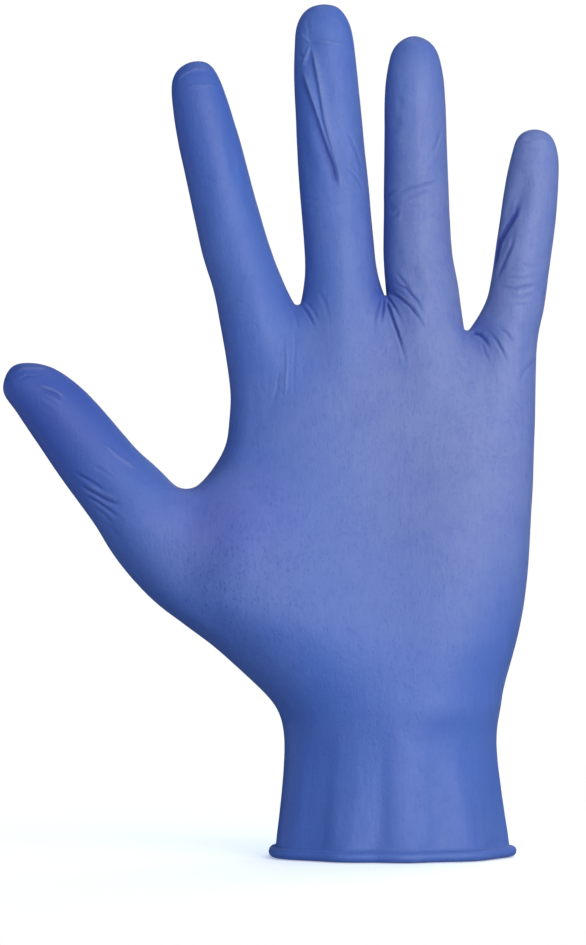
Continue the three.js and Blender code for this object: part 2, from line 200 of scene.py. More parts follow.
@dataclass(frozen=True)
class Knuckle:
    """The fan of short wrinkles over the back of a finger joint."""

    centre: tuple[float, float]
    lean: float
    half_width: float
    lines: int = 4
    pitch: float = 2.1
    depth: float = 0.26
    width: float = 0.62
    fade: float = 0.4
    bow: float = 0.35
    narrowing: float = 0.13
    softening: float = 0.2

    def creases(self) -> list[Crease]:
        """Draws the wrinkles, bowed away from the middle one.

        Returns:
            The wrinkles from the lowest to the highest, shorter and shallower away from the middle.
        """
        angle = math.radians(self.lean)
        axis = np.array([-math.sin(angle), math.cos(angle)])
        side = np.array([axis[1], -axis[0]])
        drawn = []
        for line in range(self.lines):
            place = line - (self.lines - 1) / 2.0
            reach = self.half_width * (1.0 - self.narrowing * abs(place))
            points = []
            for step in (-1.0, -0.5, 0.0, 0.5, 1.0):
                bow = place * self.pitch * (1.0 - self.bow * step * step)
                point = np.array(self.centre) + side * step * reach + axis * bow
                points.append((float(point[0]), float(point[1])))
            depth = self.depth * (1.0 - self.softening * abs(place))
            drawn.append(
                Crease(tuple(points), depth, self.width, side=Side.BACK, fade=self.fade, tail=self.fade)
            )
        return drawn


def palm_creases() -> list[Crease]:
    """Lists the folds and creases of the palm side, finger by finger.

    Returns:
        The creases.
    """
    valley, ridge, step = Section.VALLEY, Section.RIDGE, Section.STEP
    thumb = [
        Crease(((-106.1, 135.2), (-103.3, 136.9), (-98.8, 137.2), (-95.5, 136.6)), 0.24, 0.42, ridge),
        Crease(((-104.6, 133.6), (-101.5, 135.0), (-97.6, 135.1)), 0.22, 0.4),
        Crease(((-99.1, 132.7), (-94.4, 131.3), (-90.6, 129.0)), 0.28, 0.38, ridge),
        Crease(((-98.6, 131.4), (-94.2, 130.0), (-91.2, 128.4)), 0.22, 0.36),
        Crease(((-97.6, 129.2), (-92.8, 126.6)), 0.08, 0.48),
        Crease(((-80.5, 116.3), (-76.5, 112.7), (-70.4, 108.5)), 0.3, 0.4, ridge),
        Crease(((-89.0, 108.4), (-86.0, 106.8), (-82.6, 104.8), (-79.4, 102.6)), 0.26, 0.48),
        Crease(((-87.6, 105.2), (-84.2, 102.9), (-79.6, 100.4), (-74.6, 98.6)), 0.34, 0.46),
        Crease(((-86.0, 102.3), (-82.6, 100.2), (-78.6, 97.5), (-75.4, 95.3)), 0.3, 0.46),
        Crease(((-83.2, 98.8), (-80.2, 96.4), (-77.0, 93.0)), 0.2, 0.5),
        Crease(((-80.6, 95.2), (-77.9, 92.4), (-75.8, 89.4)), 0.14, 0.55),
        Crease(((-84.0, 110.4), (-80.6, 108.6), (-76.6, 106.0)), 0.1, 0.5),
        Crease(((-84.8, 104.9), (-80.6, 102.6), (-76.2, 100.6)), 0.12, 0.36, ridge),
    ]
    index = [
        Crease(((-60.6, 217.4), (-58.2, 220.0), (-54.6, 221.4), (-49.4, 221.5)), 0.26, 0.38, ridge),
        Crease(((-59.4, 214.6), (-55.4, 216.6), (-50.2, 216.9), (-47.6, 215.0)), 0.12, 0.48, ridge),
        Crease(((-45.9, 207.7), (-44.8, 198.6), (-43.5, 189.5)), 0.12, 1.0),
        Crease(((-41.4, 190.2), (-39.5, 183.9), (-37.4, 178.4)), 0.12, 0.9),
        Crease(((-50.6, 197.4), (-49.4, 184.0), (-46.6, 171.0)), 0.07, 1.3, ridge),
        Crease(((-56.4, 191.6), (-50.0, 190.2), (-44.6, 191.0)), 0.06, 0.56),
    ]
    middle = [
        Crease(((-22.6, 228.6), (-20.5, 217.2), (-18.8, 206.9), (-17.0, 200.0), (-15.0, 193.1),
                (-13.7, 188.4)), 0.62, 0.34, step, fade=0.12, tail=0.12),
        Crease(((-25.2, 221.9), (-22.2, 212.6), (-18.8, 202.2), (-15.9, 194.2), (-14.1, 187.3)),
               0.62, 0.34, step, fade=0.12, tail=0.12),
        Crease(((-25.6, 231.6), (-24.0, 230.0), (-22.3, 228.6)), 0.26, 0.4, ridge),
        Crease(((-22.4, 228.6), (-23.6, 225.4), (-25.0, 221.7)), 0.3, 0.42, ridge),
        Crease(((-26.0, 226.0), (-24.4, 224.6)), 0.2, 0.48),
        Crease(((-22.6, 229.0), (-18.0, 228.9), (-11.6, 227.9)), 0.26, 0.42, ridge),
        Crease(((-22.0, 226.8), (-17.0, 227.0), (-11.0, 226.2)), 0.08, 0.56),
        Crease(((-17.6, 237.6), (-14.2, 234.5), (-11.4, 229.9)), 0.12, 0.48, ridge),
        Crease(((-23.6, 236.4), (-22.9, 232.0), (-22.6, 229.4)), 0.12, 0.4),
        Crease(((-12.4, 204.6), (-9.6, 198.8), (-7.3, 191.3)), 0.2, 0.48),
        Crease(((-12.6, 194.6), (-9.6, 191.2), (-6.9, 186.8)), 0.18, 0.4),
        Crease(((-14.9, 192.0), (-11.4, 188.6), (-8.2, 187.3)), 0.1, 0.4, ridge),
        Crease(((-26.6, 186.6), (-21.0, 184.5), (-16.6, 184.9)), 0.12, 0.44),
        Crease(((-26.2, 183.6), (-20.6, 182.6), (-14.6, 184.2), (-9.0, 185.2)), 0.1, 0.44),
        Crease(((-25.4, 206.6), (-23.4, 197.0), (-20.8, 189.4)), 0.1, 1.2),
    ]
    ring = [
        Crease(((0.6, 185.9), (5.1, 187.9), (9.6, 188.9), (15.2, 190.4)), 0.26, 0.38),
        Crease(((3.0, 184.4), (7.4, 186.3), (12.4, 187.6)), 0.2, 0.36),
        Crease(((4.6, 189.6), (9.4, 191.0), (15.0, 192.6)), 0.12, 0.4),
        Crease(((7.6, 184.2), (11.4, 185.2), (15.4, 186.6)), 0.1, 0.4),
        Crease(((-1.6, 185.7), (0.6, 187.2), (2.5, 187.4)), 0.2, 0.4),
        Crease(((-1.2, 179.8), (1.2, 180.3), (2.5, 181.8)), 0.22, 0.42),
        Crease(((0.0, 178.0), (2.4, 179.2), (3.7, 181.8)), 0.12, 0.4, ridge),
        Crease(((-0.8, 183.6), (0.6, 182.9), (1.6, 184.0)), 0.2, 1.1),
        Crease(((6.6, 178.3), (9.6, 179.2), (13.4, 180.6)), 0.12, 0.4),
        Crease(((2.2, 214.4), (2.9, 211.9), (2.4, 209.6)), 0.14, 0.9),
        Crease(((1.4, 208.4), (1.9, 205.6), (0.6, 202.4)), 0.14, 0.9),
        Crease(((14.6, 205.6), (13.4, 201.6), (12.0, 197.4)), 0.18, 0.44),
        Crease(((12.0, 197.6), (10.2, 195.2), (7.6, 194.4)), 0.08, 0.56),
        Crease(((5.6, 222.6), (9.6, 221.8), (13.4, 219.4)), 0.06, 0.8),
    ]
    little = [
        Crease(((34.6, 200.6), (37.2, 201.6), (39.7, 200.8), (42.3, 201.5), (45.2, 200.7)), 0.34, 0.42,
               ridge),
        Crease(((35.6, 199.0), (39.7, 199.2), (44.6, 199.0)), 0.12, 0.44),
        Crease(((36.6, 186.6), (35.2, 180.5), (32.9, 177.1), (30.6, 173.0), (29.8, 169.6), (28.4, 162.6)),
               0.46, 0.58, fade=0.3),
        Crease(((35.0, 175.6), (34.0, 171.8), (31.9, 166.8), (29.6, 161.6)), 0.34, 0.5),
        Crease(((33.6, 188.2), (33.0, 183.4), (31.6, 178.6)), 0.16, 0.8, ridge),
        Crease(((35.4, 186.0), (33.4, 178.6), (30.9, 170.6), (29.2, 163.6)), 0.26, 1.5),
        Crease(((31.4, 163.4), (36.0, 162.6), (42.6, 163.2)), 0.13, 0.42),
        Crease(((29.8, 160.6), (35.0, 159.8), (42.2, 160.9)), 0.22, 0.42),
        Crease(((31.6, 158.6), (36.6, 157.7), (42.0, 158.5)), 0.17, 0.4),
        Crease(((33.6, 156.4), (38.0, 155.6), (41.4, 156.0)), 0.13, 0.42),
        Crease(((36.4, 166.4), (40.2, 165.8), (43.6, 166.4)), 0.1, 0.42),
        Crease(((38.6, 170.6), (41.6, 171.4), (44.0, 172.6)), 0.08, 0.56),
    ]
    webs = [
        Crease(((-25.6, 155.6), (-23.5, 153.3), (-21.1, 148.7)), 0.32, 0.4),
        Crease(((-23.8, 156.4), (-21.6, 153.6), (-20.2, 150.6)), 0.22, 0.36),
        Crease(((-27.4, 154.6), (-26.4, 151.6), (-26.0, 147.6)), 0.14, 0.48),
        Crease(((-20.6, 159.6), (-18.4, 155.6), (-17.4, 151.4)), 0.14, 0.56),
        Crease(((-1.2, 157.0), (0.6, 151.6), (2.7, 145.2), (5.4, 135.4)), 0.68, 0.36, fade=0.1,
               tail=0.7),
        Crease(((-1.1, 158.2), (1.4, 154.4), (3.9, 149.4)), 0.52, 0.34, fade=0.1, tail=0.7),
        Crease(((-0.6, 159.4), (2.4, 157.4), (5.4, 154.8), (8.2, 151.2), (10.8, 145.6)), 0.46, 0.4,
               fade=0.2, tail=0.55),
        Crease(((0.4, 161.6), (4.0, 160.0), (7.4, 156.4), (10.2, 151.0)), 0.35, 0.4, tail=0.55),
        Crease(((1.0, 165.2), (4.0, 161.2), (7.6, 156.6)), 0.24, 0.44, tail=0.5),
        Crease(((-1.6, 157.4), (-2.0, 153.4), (-3.0, 147.6)), 0.4, 0.32, fade=0.1, tail=0.7),
        Crease(((-2.4, 158.0), (-3.8, 153.2), (-5.1, 145.8)), 0.28, 0.36, fade=0.2, tail=0.6),
        Crease(((-3.6, 160.4), (-5.6, 156.0), (-6.9, 150.6)), 0.16, 0.48),
        Crease(((22.9, 147.8), (25.3, 146.9), (26.9, 145.1), (28.3, 142.2)), 0.56, 0.42, fade=0.15,
               tail=0.5),
        Crease(((26.6, 148.6), (29.6, 145.6), (31.6, 142.0), (34.1, 136.4)), 0.38, 0.38, tail=0.55),
        Crease(((25.6, 145.4), (26.6, 141.6), (28.6, 137.6)), 0.26, 0.36, tail=0.5),
        Crease(((21.4, 148.6), (20.4, 144.6), (20.6, 140.6)), 0.16, 0.48),
        Crease(((29.6, 149.4), (33.0, 146.9), (35.4, 142.6)), 0.24, 0.38, tail=0.5),
    ]
    palm = [
        Crease(((42.2, 141.6), (40.0, 139.0), (37.6, 136.6), (36.2, 133.4)), 0.2, 0.56),
        Crease(((32.1, 128.6), (34.8, 127.3), (37.3, 125.0)), 0.24, 0.4, ridge),
        Crease(((27.6, 112.6), (31.0, 111.6), (34.4, 112.0)), 0.22, 0.4, ridge),
        Crease(((-29.3, 146.6), (-29.0, 138.6), (-29.7, 128.0)), 0.2, 0.36, ridge),
        Crease(((-26.7, 150.6), (-27.0, 140.0), (-27.2, 131.0)), 0.07, 0.4),
        Crease(((-31.4, 137.0), (-31.8, 131.6), (-33.0, 127.0)), 0.1, 0.48),
        Crease(((-38.6, 134.0), (-37.6, 122.0), (-40.6, 111.0)), 0.08, 1.1),
        Crease(((20.6, 112.6), (27.6, 104.6), (30.6, 96.0)), 0.06, 1.0),
        Crease(((-21.6, 104.0), (-10.6, 98.0), (1.6, 99.0)), 0.05, 1.2),
    ]
    return thumb + index + middle + ring + little + webs + palm


def back_creases() -> list[Crease]:
    """Lists the wrinkles over the finger joints and the drape of the film on the back.

    Returns:
        The creases.
    """
    knuckles = [
        Knuckle((-50.2, 199.6), 12.0, 6.2, lines=3, depth=0.19),
        Knuckle((-44.6, 177.6), 13.5, 7.0),
        Knuckle((-17.4, 214.6), 2.5, 6.6, lines=3, depth=0.19),
        Knuckle((-16.4, 189.0), 3.0, 7.4),
        Knuckle((7.3, 206.8), 1.0, 6.2, lines=3, depth=0.19),
        Knuckle((7.7, 183.4), 1.5, 7.0),
        Knuckle((39.4, 185.6), -5.0, 5.2, lines=3, depth=0.19),
        Knuckle((36.6, 167.4), -8.5, 5.8),
        Knuckle((-88.6, 116.4), 38.0, 7.6),
    ]
    ridge, back = Section.RIDGE, Side.BACK
    drape = [
        Crease(((-38.6, 146.0), (-30.0, 112.0), (-16.0, 70.0)), 0.55, 2.2, ridge, back),
        Crease(((-15.2, 148.0), (-10.4, 108.0), (-6.0, 68.0)), 0.6, 2.2, ridge, back),
        Crease(((8.4, 146.0), (5.6, 108.0), (2.0, 68.0)), 0.55, 2.1, ridge, back),
        Crease(((30.0, 140.0), (21.0, 106.0), (10.0, 68.0)), 0.5, 2.0, ridge, back),
        Crease(((-27.6, 150.0), (-26.0, 140.0), (-22.6, 128.0)), 0.2, 3.0, side=back),
        Crease(((-2.6, 152.0), (-2.4, 141.0), (-2.0, 129.0)), 0.2, 3.0, side=back),
        Crease(((22.4, 146.0), (19.6, 135.0), (15.6, 124.0)), 0.2, 3.0, side=back),
        Crease(((-24.0, 52.4), (-8.0, 49.6), (10.0, 50.6), (24.0, 54.0)), 0.24, 0.8, side=back),
        Crease(((-21.0, 47.6), (-4.0, 45.8), (14.0, 47.4)), 0.2, 0.7, side=back),
        Crease(((-12.0, 56.4), (4.0, 54.8), (20.0, 57.8)), 0.18, 0.7, side=back),
    ]
    return drape + [crease for knuckle in knuckles for crease in knuckle.creases()]


def nails() -> list[Nail]:
    """Lists the nails that show through the film on the back.

    Returns:
        One nail for each finger and the thumb.
    """
    return [
        Nail((-56.0, 223.6), 10.0, 5.2),
        Nail((-18.9, 239.9), 1.5, 5.6),
        Nail((7.0, 231.1), 0.0, 5.3),
        Nail((41.4, 204.8), 0.0, 4.4, half_length=5.2, inset=8.0),
        Nail((-106.0, 136.4), 42.0, 6.2, half_length=6.8, inset=10.5),
    ]


def deselect_all() -> None:
    """Leaves edit mode and clears the selection."""
    if bpy.context.mode != "OBJECT":
        bpy.ops.object.mode_set(mode="OBJECT")
    bpy.ops.object.select_all(action="DESELECT")


def pick(piece: bpy.types.Object) -> None:
    """Makes a piece the only one that is selected, and the active one.

    Args:
        piece: The piece.
    """
    deselect_all()
    piece.select_set(True)
    bpy.context.view_layer.objects.active = piece


def points_of(mesh: bpy.types.Mesh) -> np.ndarray:
    """Reads a mesh's points.

    Args:
        mesh: The mesh.

    Returns:
        The points in metres, one row each.
    """
    flat = np.empty(len(mesh.vertices) * 3, np.float32)
    mesh.vertices.foreach_get("co", flat)
    return flat.reshape(-1, 3).astype(float)


def normals_of(mesh: bpy.types.Mesh) -> np.ndarray:
    """Reads the outward normals at a mesh's points.

    Args:
        mesh: The mesh.

    Returns:
        The normals, one row each.
    """
    flat = np.empty(len(mesh.vertices) * 3, np.float32)
    mesh.vertex_normals.foreach_get("vector", flat)
    return flat.reshape(-1, 3).astype(float)


def move_points(mesh: bpy.types.Mesh, places: np.ndarray) -> None:
    """Puts a mesh's points at new places."""
    mesh.vertices.foreach_set("co", places.astype(np.float32).ravel())
    mesh.update()


@dataclass
class Film:
    """The glove's film: outer skin, inner skin and the rolled bead that joins them at the mouth.

    Sizes are in millimetres and angles in degrees. A refinement is how many widths away from a crease the
    faces are divided, and fineness is the largest face's breadth there as a share of the crease's width.
    Facings are those of the film's outward Y, at which a mark has its full height.
    """

    name: str = "glove_film"
    wall: float = 1.0
    bead_diameter: float = 3.0
    bead_steps: int = 10
    bead_wobble: float = 0.09
    bead_lobes: float = 3.0
    bead_start: float = 120.0
    bead_sweep: float = 300.0
    bead_clearance: float = 4.0
    rim_margin: float = 0.05
    outer_levels: int = 2
    inner_levels: int = 1
    fit_passes: int = 5
    refinements: tuple[float, float] = (2.2, 1.2)
    refined_width: float = 0.45
    refined_margin: float = 0.35
    fineness: float = 0.95
    least_facing: float = 0.05
    crease_facing: float = 0.35
    nail_facing: float = 0.5
    crumple: float = 0.07
    crumple_size: tuple[float, float] = (7.5, 12.0)
    ripple: float = 0.035
    ripple_size: tuple[float, float] = (2.6, 3.8)
    gathers: tuple[float, float] = (17.0, 29.0)
    gather_depth: float = 0.11
    cuff_top: float = 46.0
    creases: list[Crease] = field(default_factory=lambda: palm_creases() + back_creases())
    nails: list[Nail] = field(default_factory=nails)

    def build(self, cad: bpy.types.Object) -> bpy.types.Object:
        """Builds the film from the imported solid.

        Args:
            cad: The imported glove, which is copied and left as it is.

        Returns:
            The finished film.
        """
        outer, inner = self.skins(self.draft(cad))
        self.redraw(outer, self.outer_levels)
        self.redraw(inner, self.inner_levels)
        for near in self.refinements:
            self.refine(outer, near)
        self.press(outer)
        self.roll_bead(outer)
        return self.close(outer, inner)

    def draft(self, cad: bpy.types.Object) -> bpy.types.Object:
        """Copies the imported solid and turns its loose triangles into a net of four-sided faces.

        Args:
            cad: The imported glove.

        Returns:
            The copy, with its doubles merged.
        """
        piece = bpy.data.objects.new(self.name, cad.data.copy())
        bpy.context.scene.collection.objects.link(piece)
        piece.data.materials.clear()
        pick(piece)
        bpy.ops.mesh.customdata_custom_splitnormals_clear()
        bpy.ops.object.mode_set(mode="EDIT")
        bpy.ops.mesh.select_all(action="SELECT")
        bpy.ops.mesh.remove_doubles(threshold=1e-6)
        bpy.ops.mesh.tris_convert_to_quads(
            face_threshold=math.pi, shape_threshold=math.pi, topology_influence=1.4
        )
        bpy.ops.object.mode_set(mode="OBJECT")
        return piece

    def skins(self, piece: bpy.types.Object) -> tuple[bpy.types.Object, bpy.types.Object]:
        """Takes the bead off, which leaves the outer and the inner skin as two pieces.

        Args:
            piece: The whole net, which becomes one of the two.

        Returns:
            The outer and the inner skin.
        """
        pick(piece)
        bpy.ops.object.mode_set(mode="EDIT")
        bpy.ops.mesh.select_mode(type="FACE")
        bpy.ops.mesh.select_all(action="DESELECT")
        net = bmesh.from_edit_mesh(piece.data)
        rim = (self.bead_diameter + self.rim_margin) * MM
        for face in net.faces:
            face.select = all(corner.co.z < rim for corner in face.verts)
        bmesh.update_edit_mesh(piece.data)
        bpy.ops.mesh.delete(type="FACE")
        bpy.ops.mesh.select_all(action="SELECT")
        bpy.ops.mesh.separate(type="LOOSE")
        bpy.ops.object.mode_set(mode="OBJECT")
        halves = sorted(bpy.context.selected_objects, key=lambda skin: points_of(skin.data)[:, 2].max())
        if len(halves) != 2:
            raise RuntimeError(f"the film fell into {len(halves)} skins")
        return halves[1], halves[0]

    def redraw(self, skin: bpy.types.Object, levels: int) -> None:
        """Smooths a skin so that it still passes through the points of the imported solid.

        Args:
            skin: The skin.
            levels: How often its faces are divided.
        """
        aims = points_of(skin.data)
        drawn = aims.copy()
        rounding = skin.modifiers.new("rounding", "SUBSURF")
        rounding.levels = rounding.render_levels = 1
        for _ in range(self.fit_passes):
            graph = bpy.context.evaluated_depsgraph_get()
            rounded = skin.evaluated_get(graph).data
            drawn += aims - points_of(rounded)[: len(aims)]
            move_points(skin.data, drawn)
        rounding.levels = rounding.render_levels = levels
        pick(skin)
        bpy.ops.object.modifier_apply(modifier=rounding.name)

    def refine(self, skin: bpy.types.Object, near: float) -> None:
        """Divides the faces that lie close to a crease and are too large to show it.

        Args:
            skin: The outer skin.
            near: How many widths from the crease a face may lie.
        """
        count = len(skin.data.polygons)
        centres = np.empty(count * 3, np.float32)
        facing = np.empty(count * 3, np.float32)
        skin.data.polygons.foreach_get("center", centres)
        skin.data.polygons.foreach_get("normal", facing)
        places = centres.reshape(-1, 3)[:, [0, 2]] / MM
        outward = facing.reshape(-1, 3)[:, 1]
        areas = np.empty(count, np.float32)
        skin.data.polygons.foreach_get("area", areas)
        breadth = np.sqrt(areas) / MM
        chosen = np.zeros(count, bool)
        for crease in self.creases:
            reach = near * max(crease.width, self.refined_width) + self.refined_margin
            close = np.abs(crease.nearest(places)[0]) < reach
            large = breadth > self.fineness * crease.width
            chosen |= close & large & (outward * crease.side.value > self.least_facing)
        pick(skin)
        bpy.ops.object.mode_set(mode="EDIT")
        bpy.ops.mesh.select_mode(type="FACE")
        bpy.ops.mesh.select_all(action="DESELECT")
        net = bmesh.from_edit_mesh(skin.data)
        for face, wanted in zip(net.faces, chosen):
            face.select_set(bool(wanted))
        bmesh.update_edit_mesh(skin.data)
        bpy.ops.mesh.subdivide(number_cuts=1, smoothness=1.0, ngon=False)
        bpy.ops.object.mode_set(mode="OBJECT")

    def press(self, skin: bpy.types.Object) -> None:
        """Presses the creases into the outer skin, raises the nails and ruffles the film.

        The lift of the creases is kept on the mesh, where the finish reads it to paint shade into the
        creases and highlights on their lips.

        Args:
            skin: The outer skin.
        """
        places = points_of(skin.data)
        normals = normals_of(skin.data)
        flat = places[:, [0, 2]] / MM
        lift = np.zeros(len(places))
        for crease in self.creases:
            facing = smooth(normals[:, 1] * crease.side.value / self.crease_facing)
            lift += facing * crease.rise(flat)
        fold = skin.data.attributes.new(FOLD, "FLOAT", "POINT")
        fold.data.foreach_set("value", lift.astype(np.float32))
        for nail in self.nails:
            lift += smooth(normals[:, 1] / self.nail_facing) * nail.rise(flat)
        lift += self.ruffle(places)
        above = smooth((places[:, 2] / MM - self.bead_diameter) / self.bead_clearance)
        move_points(skin.data, places + normals * (lift * above * MM)[:, None])

    def ruffle(self, places: np.ndarray) -> np.ndarray:
        """Works out the slight unevenness of the worn film, and the soft gathers of its cuff.

        Args:
            places: The skin's points in metres.

        Returns:
            The lift along the normal in millimetres.
        """
        uneven = np.empty(len(places))
        for k, place in enumerate(places):
            spot = Vector(place) / MM
            across, up = self.crumple_size
            broad = noise.noise(Vector((spot.x / across, spot.y / across, spot.z / up)))
            across, up = self.ripple_size
            fine = noise.noise(Vector((spot.x / across + 31.0, spot.y / across, spot.z / up)))
            uneven[k] = self.crumple * broad + self.ripple * fine
        around = np.arctan2(places[:, 1], places[:, 0])
        loose = smooth(1.0 - places[:, 2] / MM / self.cuff_top)
        few, many = self.gathers
        gathers = np.cos(few * around + 0.7) + 0.6 * np.cos(many * around + 2.0)
        return uneven + self.gather_depth * loose * gathers

    def roll_bead(self, skin: bpy.types.Object) -> None:
        """Extrudes the outer skin's mouth round the rolled bead, ring after ring.

        Args:
            skin: The outer skin.
        """
        pick(skin)
        bpy.ops.object.mode_set(mode="EDIT")
        bpy.ops.mesh.select_mode(type="EDGE")
        bpy.ops.mesh.select_all(action="DESELECT")
        bpy.ops.mesh.select_non_manifold()
        net = bmesh.from_edit_mesh(skin.data)
        starts = {}
        for corner in net.verts:
            if corner.select:
                outward = Vector((corner.normal.x, corner.normal.y, 0.0)).normalized()
                starts[corner.index] = (corner.co.copy(), outward)
        for step in range(1, self.bead_steps + 1):
            angle = math.radians(self.bead_start - self.bead_sweep * step / self.bead_steps)
            bpy.ops.mesh.extrude_edges_move()
            net = bmesh.from_edit_mesh(skin.data)
            net.verts.index_update()
            ring = [corner for corner in net.verts if corner.select]
            moved = {}
            for corner in ring:
                source = next(
                    other
                    for other in (edge.other_vert(corner) for edge in corner.link_edges)
                    if not other.select
                )
                place, outward = starts[source.index]
                radius = self.bead_radius(place)
                moved[corner.index] = (place, outward)
                gap = radius - self.wall * MM + radius * math.cos(angle)
                corner.co = place + outward * gap
                corner.co.z = radius + radius * math.sin(angle)
            starts = moved
            bmesh.update_edit_mesh(skin.data)
        bpy.ops.object.mode_set(mode="OBJECT")

    def bead_radius(self, place: Vector) -> float:
        """Gives the bead's radius at a place on the mouth, a little uneven as rolled film is.

        Args:
            place: The place in metres.

        Returns:
            The radius in metres.
        """
        around = math.atan2(place.y, place.x)
        lobes = self.bead_lobes
        uneven = noise.noise(Vector((lobes * math.cos(around), lobes * math.sin(around), 0.4)))
        return self.bead_diameter / 2.0 * MM * (1.0 - self.bead_wobble * abs(uneven))

    def close(self, outer: bpy.types.Object, inner: bpy.types.Object) -> bpy.types.Object:
        """Joins the skins into one closed film.

        Args:
            outer: The outer skin with its bead.
            inner: The inner skin.

        Returns:
            The closed film.
        """
        pick(outer)
        inner.select_set(True)
        bpy.ops.object.join()
        bpy.ops.object.mode_set(mode="EDIT")
        bpy.ops.mesh.select_mode(type="EDGE")
        bpy.ops.mesh.select_all(action="DESELECT")
        bpy.ops.mesh.select_non_manifold()
        bpy.ops.mesh.bridge_edge_loops()
        bpy.ops.mesh.select_all(action="SELECT")
        bpy.ops.mesh.normals_make_consistent(inside=False)
        bpy.ops.mesh.select_all(action="DESELECT")
        bpy.ops.mesh.select_non_manifold()
        net = bmesh.from_edit_mesh(outer.data)
        loose = sum(edge.select for edge in net.edges)
        bpy.ops.object.mode_set(mode="OBJECT")
        bpy.ops.object.shade_smooth()
        outer.name = self.name
        triangles = sum(len(face.vertices) - 2 for face in outer.data.polygons)
        LOG.info("film: %d triangles, %d open edges", triangles, loose)
        return outer


class Signal:
    """One output of a shader node, with Python's operators as Math nodes."""

    def __init__(self, tree: bpy.types.NodeTree, socket: bpy.types.NodeSocket) -> None:
        """Wraps an output socket."""
        self.tree = tree
        self.socket = socket

    def math(self, operation: str, first: Number, second: Number) -> "Signal":
        """Adds a Math node.

        Args:
            operation: The node's operation.
            first: The first value or signal.
            second: The second value or signal.

        Returns:
            The node's result.
        """
        added = self.tree.nodes.new("ShaderNodeMath")
        added.operation = operation
        for place, value in zip(added.inputs, (first, second)):
            if isinstance(value, Signal):
                self.tree.links.new(value.socket, place)
            else:
                place.default_value = value
        return Signal(self.tree, added.outputs[0])

    def __add__(self, other: Number) -> "Signal":
        """Adds."""
        return self.math("ADD", self, other)

    __radd__ = __add__

    def __sub__(self, other: Number) -> "Signal":
        """Subtracts."""
        return self.math("SUBTRACT", self, other)

    def __rsub__(self, other: Number) -> "Signal":
        """Subtracts from a number."""
        return self.math("SUBTRACT", other, self)

    def __mul__(self, other: Number) -> "Signal":
        """Multiplies."""
        return self.math("MULTIPLY", self, other)

    __rmul__ = __mul__



Colour = tuple[float, float, float]


class Dresser:
    """Draws one material as a graph of nodes."""

    def __init__(self, name: str) -> None:
        """Starts an empty material.

        Args:
            name: The material's name.
        """
        self.material = bpy.data.materials.new(name)
        self.material.use_nodes = True
        self.tree = self.material.node_tree
        self.tree.nodes.clear()

    def node(self, kind: str, settings: dict | None = None, sockets: dict | None = None,
             output: int | str = 0) -> Signal:
        """Adds a node.

        Args:
            kind: The node's type.
            settings: What is set on the node itself.
            sockets: Values or signals for its inputs, by name or number.
            output: The output that is wanted.

        Returns:
            The chosen output.
        """
        added = self.tree.nodes.new(kind)
        for key, value in (settings or {}).items():
            setattr(added, key, value)
        for key, value in (sockets or {}).items():
            if isinstance(value, Signal):
                self.tree.links.new(value.socket, added.inputs[key])
            else:
                added.inputs[key].default_value = value
        return Signal(self.tree, added.outputs[output])

    def spots(self, scale: float, detail: float, roughness: float, place: Signal) -> Signal:
        """Adds a noise.

        Args:
            scale: How many spots there are to a metre of the place.
            detail: How many finer layers there are.
            roughness: How strong the finer layers are.
            place: Where on the film it is read.

        Returns:
            The level, between 0 and 1.
        """
        return self.node(
            "ShaderNodeTexNoise",
            {"noise_dimensions": "3D"},
            {"Vector": place, "Scale": scale, "Detail": detail, "Roughness": roughness},
        )

    def window(self, value: Signal, low: float, high: float) -> Signal:
        """Turns the stretch from low to high into a soft mask.

        Args:
            value: The value to read.
            low: Where the mask is 0.
            high: Where the mask is 1.

        Returns:
            The mask.
        """
        return self.node(
            "ShaderNodeMapRange",
            {"interpolation_type": "SMOOTHSTEP", "clamp": True},
            {"Value": value, "From Min": low, "From Max": high, "To Min": 0.0, "To Max": 1.0},
        )

    def place(self, scale: tuple[float, float, float], centre: tuple[float, float, float] = (0, 0, 0)
              ) -> Signal:
        """Gives the object's own coordinates, stretched about a centre.

        Args:
            scale: How far each axis is stretched.
            centre: The centre in metres.

        Returns:
            The coordinates.
        """
        where = self.node("ShaderNodeTexCoord", output="Object")
        shift = tuple(-c * s for c, s in zip(centre, scale))
        return self.node(
            "ShaderNodeMapping",
            {"vector_type": "POINT"},
            {"Vector": where, "Scale": scale, "Location": shift},
        )

    def near(self, centre: tuple[float, float, float], reach: tuple[float, float, float]) -> Signal:
        """Gives a mask that is 1 at a centre and fades to 0 at its reach.

        Args:
            centre: The centre in millimetres.
            reach: The reach along each axis in millimetres.

        Returns:
            The mask.
        """
        scale = tuple(1.0 / (r * MM) for r in reach)
        spot = self.place(scale, tuple(c * MM for c in centre))
        distance = self.node("ShaderNodeVectorMath", {"operation": "LENGTH"}, {0: spot}, "Value")
        return 1.0 - self.window(distance, 0.0, 1.0)

    def blend(self, factor: Number, first: "Colour | Signal", second: "Colour | Signal") -> Signal:
        """Blends two colours.

        Args:
            factor: The share of the second one.
            first: The first colour.
            second: The second colour.

        Returns:
            The blend.
        """
        full = [value if isinstance(value, Signal) else (*value, 1.0) for value in (first, second)]
        return self.node(
            "ShaderNodeMix",
            {"data_type": "RGBA", "clamp_factor": True},
            {0: factor, 6: full[0], 7: full[1]},
            2,
        )

    def finish(self, sockets: dict) -> bpy.types.Material:
        """Adds the surface and the output.

        Args:
            sockets: Values or signals for the surface's inputs, by name.

        Returns:
            The finished material.
        """
        surface = self.node("ShaderNodeBsdfPrincipled", None, sockets)
        output = self.tree.nodes.new("ShaderNodeOutputMaterial")
        self.tree.links.new(surface.socket, output.inputs["Surface"])
        return self.material


